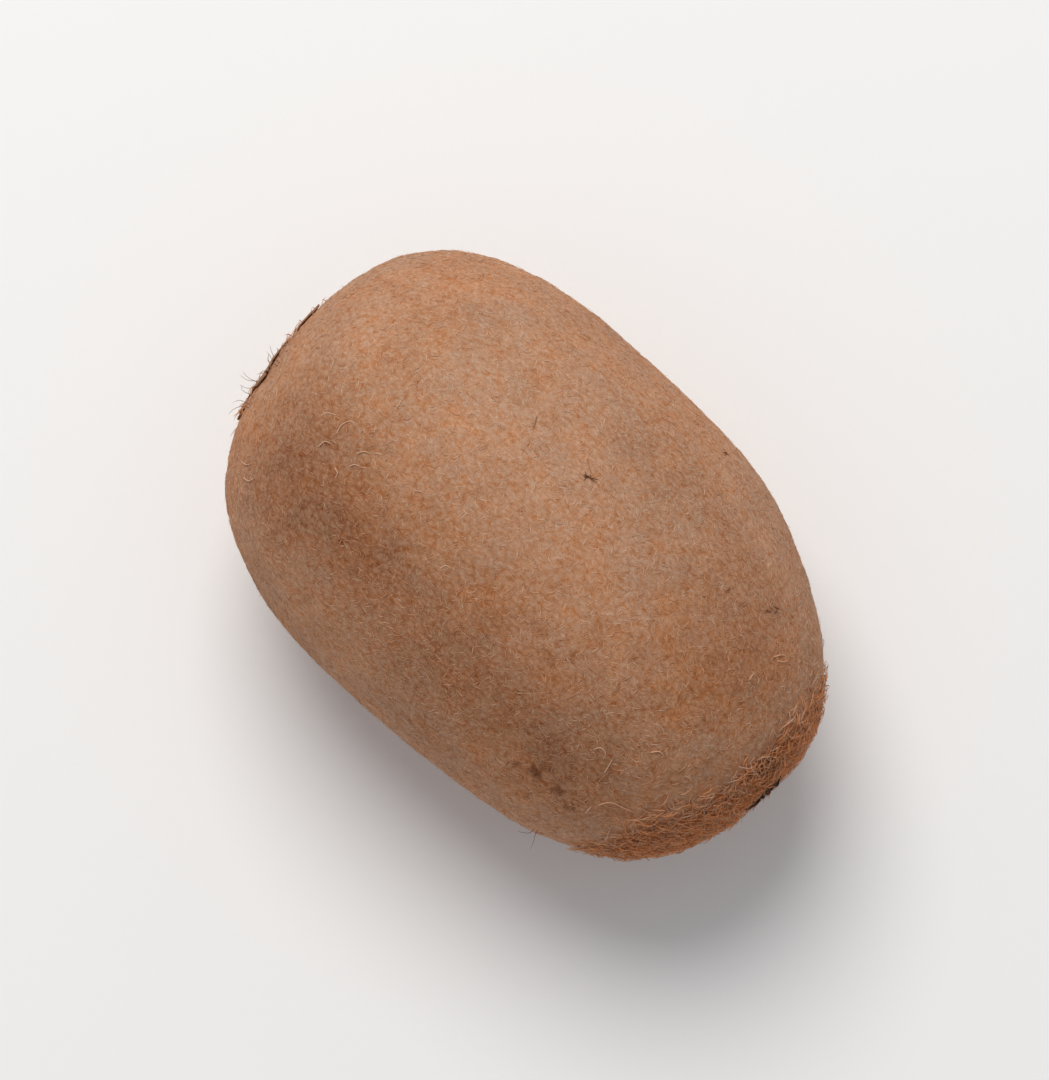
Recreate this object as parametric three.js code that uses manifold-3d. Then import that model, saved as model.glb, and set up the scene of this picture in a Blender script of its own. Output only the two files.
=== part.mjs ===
// A kiwi fruit as picked, lying on its side at rest: the hairy berry itself, the dried
// calyx with its five papery sepals at the stem end, and the dried black styles at the
// blossom end. Millimetres, +Z up. The fruit's length runs along X, with the stem end at
// -X and the blossom end at +X, and its resting spot lies on the plane Z = 0.
import * as THREE from "three";
import { mergeVertices } from "three/addons/utils/BufferGeometryUtils.js";
import Module from "manifold-3d";

// Driving dimensions of the berry
const fruitLength = 68.7;
const fruitWidth = 46.8;
const fruitThickness = 44.6;
const bellyShare = 0.15; // the widest station lies this share of half the length towards the stem
const stemRoundness = 2.56; // superellipse powers: the stem end is blunter than the blossom end
const blossomRoundness = 2.5;
const stemSlant = 0.04; // the faces of the two ends lean by these slopes across the width
const blossomSlant = 0.04;
const sway = { reach: 0.42, turns: 4.6, start: 0.46 }; // the axis wanders this much sideways
const restPitch = THREE.MathUtils.degToRad(1.9); // at rest the slimmer blossom half dips this much
const flatSpotDepth = 0.42; // how far the skin is pressed flat where the fruit rests

// Low swellings of the skin: how many round the fruit, how high as a share of the radius,
// where the first one stands, and how far it winds along the length
const swellings = [
  { lobes: 2, height: 0.006, start: 0.5, wind: 1.6 },
  { lobes: 3, height: 0.009, start: 0.9, wind: 0.7 },
  { lobes: 5, height: 0.006, start: -1.1, wind: -0.9 },
];
// Local bulges, and an old bruise as a shallow dent: where along and round the fruit, in mm and
// radians, how far it spreads and how high it stands
const bumps = [
  { x: 18.1, turn: 2.37, size: 4.2, height: -0.45 },
  { x: -29.5, turn: 3.1, size: 7, height: 0.85 },
  { x: 12.5, turn: 0, size: 7, height: 0.38 },
];

// The flat seats at the two ends. The skin round each one swells or dips by its relief, and the
// seat's own disc lies its depth under the rounded end. The stem end's is off the axis, so it
// slopes with the skin there.
const stemSeat = {
  side: -1, y: -4.4, z: 0.3, radius: 3.4, blend: 2, slope: 0.1, relief: -0.35, reach: 8, depth: 0.8,
};
const blossomSeat = {
  side: 1, y: 0.4, z: 0.3, radius: 2.4, blend: 1.6, slope: 0, relief: 0.1, reach: 6.5, depth: 0.7,
};
const seatGap = 0.3; // what lies on the skin stays this far clear of it

// The dried calyx: the corky scar of the stalk, and the sepals that spread from under its rim
const scar = { radius: 3, height: 0.75, shoulder: 0.6, rim: 0.5, dish: 1.8, dishDepth: 0.35 };
const sepal = {
  count: 5,
  thickness: 0.65,
  root: 1.7, // how far from the scar's middle each one starts
  lift: 0.05, // and how far over the gap
  length: 6.3,
  halfWidth: 2.9,
  slenderTip: 0.03, // the tip's width, as a share of the square of the half width
  turn: 0.5, // where the first one points
  rise: 0.1, // how far a middling tip curls off the skin
  lean: 0.5, // and how far it may lean to one side
  cup: 0.1, // how much higher its side edges curl
  ragged: 0.1, // how much its worn outline comes and goes
  ripple: 0.04, // how high the waves in the blade are
};

// The dried styles and the button that they grow from
const button = { radius: 2, height: 0.6, shoulder: 0.35, crown: 0.7, crownHeight: 0.65 };
const style = {
  count: 24,
  radius: 0.32,
  root: 0.4, // the lowest point of its line over the gap, well inside the button
  reach: 3,
  height: 0.6, // how high a middling one arches
  bend: 0.55, // how far it may swing round, in radians
  hook: 0.35, // how far its tip may curl up or down
  lowestTip: 0.7, // but no closer to the skin than this
};

// How finely the surfaces are cut
const skinColumns = 64;
const skinRows = 48;
const poleCrowding = 0.5; // draws the rows of the mesh towards the two ends
const sepalSteps = 8;
const sepalColumns = 5;
const scarSegments = 24;
const buttonSegments = 16;
const styleSteps = 6;
const styleSides = 5;

const colours = { skin: 0xa57c57, calyx: 0x7a5233, styles: 0x2e211c };
const randomSeed = 20;

const halfLength = fruitLength / 2;
const bellyX = -bellyShare * halfLength;

const wasm = await Module();
wasm.setup();

// Small seeded generator, so that every run gives the same fruit
function seededRandom(seed) {
  let state = seed >>> 0;
  return () => {
    state = (state + 0x6d2b79f5) >>> 0;
    let mixed = Math.imul(state ^ (state >>> 15), 1 | state);
    mixed = (mixed + Math.imul(mixed ^ (mixed >>> 7), 61 | mixed)) ^ mixed;
    return ((mixed ^ (mixed >>> 14)) >>> 0) / 4294967296;
  };
}

const between = (random, low, high) => low + (high - low) * random();
const endLength = (side) => halfLength - side * bellyX;
const roundness = (side) => (side < 0 ? stemRoundness : blossomRoundness);

// Radius of the oval section at an angle round the axis, with the low swellings.
// along runs from -1 at the stem end to 1 at the blossom end.
function sectionRadius(turn, along) {
  const across = Math.cos(turn) / (fruitWidth / 2);
  const upright = Math.sin(turn) / (fruitThickness / 2);
  const oval = 1 / Math.hypot(across, upright);
  let swell = 1;
  for (const { lobes, height, start, wind } of swellings)
    swell += height * Math.cos(lobes * turn + start + wind * along);
  return oval * swell;
}

// How far an end's rounded cap reaches from the belly, over the point (y, z) of the cross section
function capReach(side, y, z) {
  const share = Math.hypot(y, z) / sectionRadius(Math.atan2(z, y), side);
  const left = Math.max(0, 1 - Math.pow(share, roundness(side)));
  return endLength(side) * Math.pow(left, 1 / roundness(side));
}

// Where an end's skin lies along X there, with the seat's relief and its own level disc
function endSkinX(seat, y, z) {
  const { side, radius, blend, slope, relief, reach, depth } = seat;
  const off = Math.hypot(y - seat.y, z - seat.z);
  const hump = Math.pow(Math.max(0, 1 - (off / reach) ** 2), 2);
  const free = capReach(side, y, z) + relief * hump;
  const level = capReach(side, seat.y, seat.z) - depth + slope * (y - seat.y);
  const edge = THREE.MathUtils.smoothstep(off, radius, radius + blend);
  return bellyX + side * THREE.MathUtils.lerp(level, free, edge);
}

// One point of the skin, for a polar angle from +X and an angle round the axis
function skinPoint(polar, turn) {
  const crowded = polar - (poleCrowding * Math.sin(2 * polar)) / 2;
  const side = Math.cos(crowded) < 0 ? -1 : 1;
  const power = 2 / roundness(side);
  const along = side * Math.pow(Math.abs(Math.cos(crowded)), power);
  const share = Math.pow(Math.max(0, Math.sin(crowded)), power);
  const seat = side < 0 ? stemSeat : blossomSeat;
  let radius = share * sectionRadius(turn, along);
  let x = bellyX + along * endLength(side);
  const y = radius * Math.cos(turn);
  const z = radius * Math.sin(turn);
  if (Math.hypot(y - seat.y, z - seat.z) < seat.reach) x = endSkinX(seat, y, z);
  radius += bumpHeight(x, turn, radius);
  return new THREE.Vector3(x, radius * Math.cos(turn), radius * Math.sin(turn));
}

function angleBetween(a, b) {
  return Math.atan2(Math.sin(a - b), Math.cos(a - b));
}

function bumpHeight(x, turn, radius) {
  let height = 0;
  for (const bump of bumps) {
    const off = Math.hypot(x - bump.x, radius * angleBetween(turn, bump.turn));
    height += bump.height * Math.exp(-((off / bump.size) ** 2));
  }
  return height;
}

// Takes a point of the straight fruit to the grown one, with its slanted ends and its
// slightly wandering axis, and then to how the fruit lies at rest
function atRest(point) {
  const along = point.x / halfLength;
  const slant = along < 0 ? -stemSlant : blossomSlant;
  point.x += slant * point.y * THREE.MathUtils.smoothstep(Math.abs(along), 0.55, 1);
  point.y += sway.reach * Math.sin(sway.turns * along + sway.start);
  return point.applyAxisAngle(new THREE.Vector3(0, 1, 0), restPitch);
}

// How low the resting fruit's skin would reach under its axis if nothing pressed it flat
function lowestSkin() {
  let lowest = 0;
  const samples = 180;
  for (let i = 1; i < samples; i++)
    for (let k = 0; k < samples; k++) {
      const point = atRest(skinPoint((Math.PI * i) / samples, (2 * Math.PI * k) / samples));
      lowest = Math.min(lowest, point.z);
    }
  return lowest;
}

function weld(geometry) {
  geometry.deleteAttribute("normal");
  geometry.deleteAttribute("uv");
  return mergeVertices(geometry, 1e-4);
}

function toSolid(geometry) {
  const welded = weld(geometry);
  return new wasm.Manifold(
    new wasm.Mesh({
      numProp: 3,
      vertProperties: welded.attributes.position.array,
      triVerts: new Uint32Array(welded.index.array),
    }),
  );
}

function toGeometry(solid) {
  const mesh = solid.getMesh();
  const geometry = new THREE.BufferGeometry();
  geometry.setAttribute("position", new THREE.BufferAttribute(mesh.vertProperties, 3));
  geometry.setIndex(new THREE.BufferAttribute(mesh.triVerts, 1));
  geometry.computeVertexNormals();
  return geometry;
}

// Moves every vertex of a geometry to where place(x, y, z) puts it
function reshape(geometry, place) {
  const position = geometry.attributes.position;
  for (let i = 0; i < position.count; i++) {
    const to = place(position.getX(i), position.getY(i), position.getZ(i));
    position.setXYZ(i, to.x, to.y, to.z);
  }
  return geometry;
}

// The berry: a sphere's grid with its poles on X, moved out to the skin and pressed flat below
function makeFruit() {
  const tableLevel = lowestSkin() + flatSpotDepth;
  const sphere = new THREE.SphereGeometry(1, skinColumns, skinRows);
  sphere.rotateZ(-Math.PI / 2);
  reshape(sphere, (x, y, z) => {
    const polar = Math.acos(THREE.MathUtils.clamp(x, -1, 1));
    const point = atRest(skinPoint(polar, Math.atan2(z, y)));
    point.z = Math.max(tableLevel, point.z);
    return point;
  });
  const geometry = weld(sphere);
  geometry.computeVertexNormals();
  return geometry;
}

// A point over an end's skin: so far across and up from its seat's middle, and lifted off
function offSkin(seat, across, upward, lift) {
  const y = seat.y + across;
  const z = seat.z + upward;
  return atRest(new THREE.Vector3(endSkinX(seat, y, z) + seat.side * lift, y, z));
}

function overSeat(seat, out, turn, lift) {
  return offSkin(seat, out * Math.cos(turn), out * Math.sin(turn), lift);
}

// A turned piece standing on a seat, from (radius, height) points of its profile
function turnedOnSeat(seat, profile, segments) {
  const points = profile.map(([radius, height]) => new THREE.Vector2(radius, height));
  const lathe = new THREE.LatheGeometry(points, segments);
  return reshape(lathe, (x, y, z) => offSkin(seat, x, -seat.side * z, seatGap + y));
}

// The corky scar where the stalk came off: a low disc with a dished middle
function makeScar() {
  const profile = [
    [0, 0],
    [scar.radius, 0],
    [scar.radius, scar.height * scar.shoulder],
    [scar.radius - scar.rim, scar.height],
    [scar.dish, scar.height],
    [scar.dish - scar.dishDepth, scar.height - scar.dishDepth],
    [0, scar.height - scar.dishDepth],
  ];
  return turnedOnSeat(stemSeat, profile, scarSegments);
}

// One dried sepal: a thin papery blade with a worn tip, cupped, waved and lifting off the skin
function makeSepal(index, random) {
  const facing = (2 * Math.PI * index) / sepal.count + between(random, -0.12, 0.12) + sepal.turn;
  const length = sepal.length * between(random, 0.82, 1.12);
  const halfWidth = sepal.halfWidth * between(random, 0.88, 1.1);
  const rise = sepal.rise * between(random, 0.45, 1.5);
  const lean = sepal.lean * between(random, -1, 1);
  const wave = between(random, 0, 2 * Math.PI);
  const cup = sepal.cup * between(random, 0.4, 1.6);
  const blade = new THREE.BoxGeometry(1, 1, 1, sepalSteps, sepalColumns, 1);
  return reshape(blade, (x, y, z) => {
    const along = x + 0.5;
    const across = 2 * y;
    const worn = 1 + sepal.ragged * Math.sin(9 * along + wave + across);
    const width = halfWidth * worn * Math.sqrt(Math.max(sepal.slenderTip, 1 - along ** 3));
    const skewed = 1 - sepal.ragged * across * Math.sin(wave) * along;
    const out = sepal.root + length * along * skewed;
    const sideways = width * across + lean * along ** 2;
    const ripple = sepal.ripple * (1 + Math.sin(6 * along + 2.4 * across + wave)) * along;
    const curl = rise * along ** 2 + cup * across ** 2 * along;
    const lift = seatGap + sepal.lift + curl + ripple + (z + 0.5) * sepal.thickness;
    const turn = facing - Math.atan2(sideways, out);
    return overSeat(stemSeat, Math.hypot(out, sideways), turn, lift);
  });
}

function makeCalyx() {
  const random = seededRandom(randomSeed);
  let calyx = toSolid(makeScar());
  for (let i = 0; i < sepal.count; i++) calyx = calyx.add(toSolid(makeSepal(i, random)));
  return toGeometry(calyx);
}

// The low dome that the styles grow from
function makeButton() {
  const profile = [
    [0, 0],
    [button.radius, 0],
    [button.radius, button.height * button.shoulder],
    [button.radius * button.crown, button.height * button.crownHeight],
    [0, button.height],
  ];
  return turnedOnSeat(blossomSeat, profile, buttonSegments);
}

// One style: a thin tube that leaves the button, leans outwards and hooks at its tip. The
// golden angle spreads the roots evenly, and the outer ones lean out further and arch lower.
function makeStyle(index, random) {
  const turn = index * Math.PI * (3 - Math.sqrt(5));
  const outer = Math.sqrt((index + 0.5) / style.count);
  const root = button.radius * button.crown * outer;
  const reach = style.reach * between(random, 0.65, 1.1) * (0.55 + 0.45 * outer);
  const height = style.height * between(random, 0.75, 1.25) * (1.3 - 0.5 * outer);
  const bend = style.bend * between(random, -1, 1);
  const hook = style.hook * between(random, -1, 1);
  const lowest = seatGap + style.root;
  const line = new THREE.CatmullRomCurve3([
    overSeat(blossomSeat, root, turn, lowest),
    overSeat(blossomSeat, root + reach * 0.2, turn, lowest + height * 0.6),
    overSeat(blossomSeat, root + reach * 0.6, turn + bend * 0.4, lowest + height),
    overSeat(blossomSeat, root + reach, turn + bend, Math.max(style.lowestTip, height + hook)),
  ]);
  const corners = Array.from({ length: styleSides }, (_, k) => {
    const around = (2 * Math.PI * k) / styleSides;
    return new THREE.Vector2(style.radius * Math.cos(around), style.radius * Math.sin(around));
  });
  return new THREE.ExtrudeGeometry(new THREE.Shape(corners), {
    steps: styleSteps,
    extrudePath: line,
  });
}

function makeStyles() {
  const random = seededRandom(randomSeed + 1);
  let styles = toSolid(makeButton());
  for (let i = 0; i < style.count; i++) styles = styles.add(toSolid(makeStyle(i, random)));
  return toGeometry(styles);
}

function namedMesh(name, geometry, colour, roughness) {
  const material = new THREE.MeshStandardMaterial({ color: colour, roughness, metalness: 0 });
  const mesh = new THREE.Mesh(geometry, material);
  mesh.name = name;
  return mesh;
}

const kiwi = new THREE.Group();
kiwi.add(namedMesh("fruit", makeFruit(), colours.skin, 0.85));
kiwi.add(namedMesh("dried_calyx", makeCalyx(), colours.calyx, 0.9));
kiwi.add(namedMesh("dried_styles", makeStyles(), colours.styles, 0.8));

// The middle of the whole part's footprint comes to the origin, and its flat spot to Z = 0
const extent = new THREE.Box3().setFromObject(kiwi, true);
const middle = extent.getCenter(new THREE.Vector3());
kiwi.position.set(-middle.x, -middle.y, -extent.min.z);

export default kiwi;
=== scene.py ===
# The looks of a kiwi fruit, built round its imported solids: the felted skin, the dried calyx at
# the stem end and the dried styles at the blossom end. Sizes below are in millimetres.
import math
from random import Random
import bmesh
import bpy
import numpy as np
from mathutils import Matrix, Vector, noise
from mathutils.bvhtree import BVHTree


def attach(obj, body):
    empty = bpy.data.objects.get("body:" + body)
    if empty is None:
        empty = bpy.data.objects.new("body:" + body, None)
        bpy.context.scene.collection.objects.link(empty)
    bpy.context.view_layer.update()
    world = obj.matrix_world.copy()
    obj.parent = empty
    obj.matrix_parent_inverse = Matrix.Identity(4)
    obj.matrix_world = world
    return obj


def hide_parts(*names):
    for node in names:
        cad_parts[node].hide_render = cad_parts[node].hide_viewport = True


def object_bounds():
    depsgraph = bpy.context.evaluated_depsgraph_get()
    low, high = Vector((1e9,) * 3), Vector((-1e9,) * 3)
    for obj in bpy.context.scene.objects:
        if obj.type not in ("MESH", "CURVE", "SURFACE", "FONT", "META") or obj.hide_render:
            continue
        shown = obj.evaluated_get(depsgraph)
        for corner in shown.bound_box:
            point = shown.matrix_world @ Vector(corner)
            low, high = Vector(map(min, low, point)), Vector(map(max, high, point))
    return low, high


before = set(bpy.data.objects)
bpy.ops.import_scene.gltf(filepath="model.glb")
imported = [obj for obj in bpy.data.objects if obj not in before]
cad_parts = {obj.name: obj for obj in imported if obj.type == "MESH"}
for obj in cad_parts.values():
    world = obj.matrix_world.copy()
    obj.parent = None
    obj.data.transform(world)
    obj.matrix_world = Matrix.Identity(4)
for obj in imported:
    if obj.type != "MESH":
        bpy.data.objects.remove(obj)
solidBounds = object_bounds()
mm = 0.001
bakeMap = "OFBake"  # the map that a strand's colour is read from
mergeWithin = 0.002  # corners closer than this are one


# Camera: it looks down on the fruit, nearly from above

view = {
    "azimuth": 45.5,  # degrees, from in front of -Y round towards +X
    "elevation": 80.0,
    "distance": 700,
    "frameHeight": 114.5,  # what the frame takes in at the fruit
    "middle": (0, 0, 22),
    "aimRight": -0.80,  # how far from that middle the view is centred
    "aimUp": 1.95,
    "sensor": 36,
    "nearest": 10,
    "photoWidth": 1049,
    "photoHeight": 1080,
}


def viewAxes():
    around, over = math.radians(view["azimuth"]), math.radians(view["elevation"])
    level = math.cos(over)
    back = Vector((math.sin(around) * level, -math.cos(around) * level, math.sin(over)))
    right = Vector((math.cos(around), math.sin(around), 0))
    return right, back.cross(right), back


viewRight, viewUp, viewBack = viewAxes()
aim = (Vector(view["middle"]) + viewRight * view["aimRight"] + viewUp * view["aimUp"]) * mm
eye = aim + viewBack * view["distance"] * mm


def makeCamera():
    lens = bpy.data.cameras.new("camera")
    lens.sensor_width = view["sensor"]
    lens.lens = view["sensor"] * view["distance"] / view["frameHeight"]
    lens.clip_start = view["nearest"] * mm
    camera = bpy.data.objects.new("camera", lens)
    turn = Matrix((viewRight, viewUp, viewBack)).transposed().to_4x4()
    camera.matrix_world = Matrix.Translation(eye) @ turn
    bpy.context.scene.collection.objects.link(camera)
    bpy.context.scene.camera = camera


# Light: one big soft lamp over the far side, a grey surround and a pale floor

light = {
    "keySize": 620,
    "keyDistance": 950,
    "keyBack": 0.75,  # how far it stands towards the camera, up the picture and to its right
    "keyUp": 0.62,
    "keyRight": -0.14,
    "keyPower": 6.2,
    "keyColour": (1.0, 0.965, 0.92),
    "surround": (0.93, 0.96, 1.0),
    "surroundStrength": 0.40,
    "floorColour": (0.97, 0.97, 0.97),
    "floorRoughness": 0.9,
    "floorReach": 2500,
    "floorSquares": 8,
}


def makeLight():
    lamp = bpy.data.lights.new("key", "AREA")
    lamp.shape = "DISK"
    lamp.size = light["keySize"] * mm
    lamp.energy = light["keyPower"]
    lamp.color = light["keyColour"]
    key = bpy.data.objects.new("key", lamp)
    towards = viewBack * light["keyBack"] + viewUp * light["keyUp"] + viewRight * light["keyRight"]
    towards.normalize()
    place = Vector(view["middle"]) * mm + towards * light["keyDistance"] * mm
    turn = towards.to_track_quat("Z", "Y").to_matrix().to_4x4()
    key.matrix_world = Matrix.Translation(place) @ turn
    bpy.context.scene.collection.objects.link(key)
    world = bpy.data.worlds.new("surround")
    world.use_nodes = True
    sky = world.node_tree.nodes["Background"]
    sky.inputs["Color"].default_value = (*light["surround"], 1)
    sky.inputs["Strength"].default_value = light["surroundStrength"]
    bpy.context.scene.world = world
    bpy.context.scene.view_settings.view_transform = "Standard"


def makeFloor():
    shape = bmesh.new()
    squares = light["floorSquares"]
    reach = light["floorReach"] * mm
    bmesh.ops.create_grid(shape, x_segments=squares, y_segments=squares, size=reach)
    floor = toObject(shape, "floor")
    settings = {"Roughness": light["floorRoughness"], "Base Color": (*light["floorColour"], 1)}
    Finish("floor", settings).onto(floor)


# Materials: a shade is a node's socket whose maths reads as plain expressions


class Shade:
    def __init__(self, finish, socket):
        self.finish, self.socket = finish, socket

    def also(self, name):  # another output of the same node
        return Shade(self.finish, self.socket.node.outputs[name])

    def __add__(self, other):
        return self.finish.maths("ADD", self, other)

    def __radd__(self, other):
        return self.finish.maths("ADD", other, self)

    def __sub__(self, other):
        return self.finish.maths("SUBTRACT", self, other)

    def __rsub__(self, other):
        return self.finish.maths("SUBTRACT", other, self)

    def __mul__(self, other):
        return self.finish.maths("MULTIPLY", self, other)

    def __rmul__(self, other):
        return self.finish.maths("MULTIPLY", other, self)

    def __abs__(self):
        return self.finish.maths("ABSOLUTE", self)


class Finish:
    def __init__(self, name, settings):
        self.material = bpy.data.materials.new(name)
        self.material.use_nodes = True
        self.tree = self.material.node_tree
        self.shader = self.tree.nodes["Principled BSDF"]
        for socket, value in settings.items():
            self.shader.inputs[socket].default_value = value

    def node(self, kind, settings=None, values=None, output=0):
        made = self.tree.nodes.new(kind)
        for name, value in (settings or {}).items():
            setattr(made, name, value)
        for name, value in (values or {}).items():
            if isinstance(value, Shade):
                self.tree.links.new(value.socket, made.inputs[name])
            else:
                made.inputs[name].default_value = value
        return Shade(self, made.outputs[output])

    def maths(self, operation, *values):
        return self.node("ShaderNodeMath", {"operation": operation}, dict(enumerate(values)))

    def vectors(self, operation, values):
        return self.node("ShaderNodeVectorMath", {"operation": operation}, values)

    def places(self, stretch=(1, 1, 1)):  # where a point lies on the object, in millimetres
        here = self.node("ShaderNodeTexCoord", output="Object")
        return self.stretched(here, tuple(share / mm for share in stretch))

    def attribute(self, name):
        return self.node("ShaderNodeAttribute", {"attribute_name": name}, output="Fac")

    def mapped(self):  # where a point lies on the piece's own map
        return self.node("ShaderNodeUVMap", {"uv_map": bakeMap})

    def stretched(self, at, scale):
        return self.node("ShaderNodeMapping", {}, {"Vector": at, "Scale": scale})

    def noise(self, at, scale, detail=2.0, roughness=0.5, distortion=0.0, output=0):
        values = {"Vector": at, "Scale": scale, "Detail": detail, "Roughness": roughness}
        values["Distortion"] = distortion
        return self.node("ShaderNodeTexNoise", {}, values, output)

    def cells(self, at, scale):
        return self.node("ShaderNodeTexVoronoi", {"feature": "F1"}, {"Vector": at, "Scale": scale})

    def between(self, value, low, high):  # rises smoothly from 0 at low to 1 at high
        values = {"Value": value, "From Min": low, "From Max": high}
        return self.node("ShaderNodeMapRange", {"interpolation_type": "SMOOTHSTEP"}, values)

    def mix(self, share, first, second):
        values = {0: share, 6: first, 7: second}
        return self.node("ShaderNodeMix", {"data_type": "RGBA"}, values, output=2)

    def bump(self, height, depth, strength=1.0):
        values = {"Height": height, "Distance": depth * mm, "Strength": strength}
        self.put("Normal", self.node("ShaderNodeBump", {}, values))

    def put(self, socket, shade):
        self.tree.links.new(shade.socket, self.shader.inputs[socket])

    def onto(self, piece):
        piece.data.materials.clear()
        piece.data.materials.append(self.material)


# Skin and hair share one set of colours: warmth runs from olive to rust, tone from dark to pale

fruitColours = {
    "darkOlive": (0.118, 0.063, 0.035, 1),
    "darkRust": (0.152, 0.039, 0.012, 1),
    "paleOlive": (0.656, 0.444, 0.318, 1),
    "paleRust": (0.884, 0.367, 0.144, 1),
}
darkerWarmer = 1.5  # how much warmer a fleck is for each step that it is darker


def fruitColour(finish, warmth, tone):
    dark = finish.mix(warmth, fruitColours["darkOlive"], fruitColours["darkRust"])
    pale = finish.mix(warmth, fruitColours["paleOlive"], fruitColours["paleRust"])
    return finish.mix(tone, dark, pale)


# Meshes


def toObject(shape, name):
    mesh = bpy.data.meshes.new(name)
    shape.to_mesh(mesh)
    shape.free()
    mesh.shade_smooth()
    piece = bpy.data.objects.new(name, mesh)
    bpy.context.scene.collection.objects.link(piece)
    return piece


def applyModifiers(piece):
    graph = bpy.context.evaluated_depsgraph_get()
    finished = bpy.data.meshes.new_from_object(piece.evaluated_get(graph))
    piece.modifiers.clear()
    piece.data = finished


def roundOff(piece, rounds):  # of subdivision
    rounding = piece.modifiers.new("rounding", "SUBSURF")
    rounding.levels = rounding.render_levels = rounds
    applyModifiers(piece)


def meshArray(collection, name, width):
    values = np.zeros(len(collection) * width, np.float32)
    collection.foreach_get(name, values)
    return values.reshape(-1, width) if width > 1 else values


def throughPoints(points, count):
    # a smooth line of so many points through a few given ones
    knots = [points[0] * 2 - points[1], *points, points[-1] * 2 - points[-2]]
    line = []
    for step in range(count):
        place = step * (len(points) - 1) / (count - 1)
        part = min(int(place), len(points) - 2)
        share = place - part
        a, b, c, d = knots[part : part + 4]
        bend = (2 * a - 5 * b + 4 * c - d) * share ** 2 + (3 * b - a - 3 * c + d) * share ** 3
        line.append((2 * b + (c - a) * share + bend) / 2)
    return line


def growStrand(path, radii, sides):
    # a tapering strand: a ring drawn out from point to point, that ends in a closed tip
    shape = bmesh.new()
    heading = (path[1] - path[0]).normalized()
    turn = heading.to_track_quat("Z", "Y").to_matrix().to_4x4()
    place = Matrix.Translation(path[0]) @ turn
    bmesh.ops.create_circle(shape, cap_ends=True, segments=sides, radius=radii[0], matrix=place)
    edges = list(shape.edges)
    for index in range(1, len(path)):
        grown = bmesh.ops.extrude_edge_only(shape, edges=edges)["geom"]
        ring = [part for part in grown if isinstance(part, bmesh.types.BMVert)]
        edges = [part for part in grown if isinstance(part, bmesh.types.BMEdge)]
        edges = [edge for edge in edges if edge.is_boundary]
        bmesh.ops.translate(shape, verts=ring, vec=path[index] - path[index - 1])
        onward = path[min(index + 1, len(path) - 1)] - path[index - 1]
        swing = heading.rotation_difference(onward).to_matrix()
        heading = onward.normalized()
        bmesh.ops.rotate(shape, verts=ring, cent=path[index], matrix=swing)
        there = Matrix.Translation(-path[index])
        bmesh.ops.scale(shape, verts=ring, vec=[radii[index] / radii[index - 1]] * 3, space=there)
    bmesh.ops.pointmerge(shape, verts=ring, merge_co=path[-1])
    bmesh.ops.recalc_face_normals(shape, faces=shape.faces)
    return shape


# The skin: the solid's surface smoothed, with its low pebbling, patches of colour, a patch of painted
# shade and old marks

skinLook = {
    "shader": {
        "Roughness": 0.9,
        "Specular IOR Level": 0.1,
        "Sheen Weight": 0.12,
        "Sheen Roughness": 0.45,
        "Sheen Tint": (1.0, 0.72, 0.60, 1),
    },
    "joinAngles": (0.7, 1.2),  # two triangles within these are made one four-sided face
    "rounds": 2,
    "relief": [(1.5, 0.09, 3.1), (6.5, 0.10, 7.7)],  # size, height and seed of pebbles and dimples
    "reliefFrom": (0.2, 1.5),  # and over what height above the floor it sets in
    "feltDepth": 0.3,  # how far the felt stands over the solid's own skin
    "tone": 0.62,
    "warmth": 0.40,
    "mottle": [(11.0, 0.05, 0.10), (3.6, 0.05, 0.14)],  # size, and how much tone and warmth vary
    "mottleSeeds": (11.3, 23.9),  # of the first size's tone and warmth; the next size's are 1 more
}
skinNoise = {"share": 0.6, "finer": 2.0, "rounds": 3}  # of what shapes and tints the skin

# Patches of another colour, and one of painted shade: the photo's pixel that each is centred on,
# its reach over the skin, and what it adds to tone and warmth
patches = {
    "darkFlank": {"pixel": (300, 470), "reach": 8.0, "tone": -0.31, "warmth": 0.16},
    "darkCheek": {"pixel": (368, 548), "reach": 6.5, "tone": -0.20, "warmth": 0.17},
    "lowerFlank": {"pixel": (468, 672), "reach": 9.5, "tone": -0.24, "warmth": 0.15},
    "paleCrown": {"pixel": (545, 400), "reach": 14.0, "tone": 0.07, "warmth": -0.08},
    "crownShade": {"pixel": (420, 330), "reach": 5.0, "tone": -0.05, "warmth": 0.04},
    "paleShoulder": {"pixel": (360, 348), "reach": 3.5, "tone": 0.11, "warmth": -0.06},
    "shadedBack": {"pixel": (660, 445), "reach": 6.0, "tone": -0.08, "warmth": 0.02},
    "oliveBack": {"pixel": (700, 520), "reach": 7.0, "tone": -0.07, "warmth": -0.06},
    "lowerSide": {"pixel": (735, 665), "reach": 9.0, "tone": -0.17, "warmth": 0.19},
    "lowerBack": {"pixel": (640, 710), "reach": 6.0, "tone": -0.08, "warmth": 0.03},
    "scuffedBelly": {"pixel": (562, 770), "reach": 6.5, "tone": -0.24, "warmth": 0.10},
    "paleChin": {"pixel": (548, 828), "reach": 5.0, "tone": 0.12, "warmth": 0.0},
    # painted shade: a dark patch where shade falls in the hollow round the styles at the blossom end
    "paintedHollowShade": {"pixel": (764, 768), "reach": 3.0, "tone": -0.40, "warmth": 0.15},
}

# The two ends: the middles of the calyx and of the styles, and how the fruit lies at rest
ends = {
    "stem": {"middle": (-33.19, -4.22, 22.82), "side": -1},
    "blossom": {"middle": (33.65, -0.15, 20.61), "side": 1},
}
restPitch = math.radians(1.9)
fruitAxis = Vector((math.cos(restPitch), 0, -math.sin(restPitch)))
fruitUpright = Vector((math.sin(restPitch), 0, math.cos(restPitch)))
fruitAcross = Vector((0, 1, 0))
seatGap = 0.3  # what lies on the two ends stays this far clear of the skin
aboveEnds = 20  # a line that looks for an end's skin starts this far out


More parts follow.
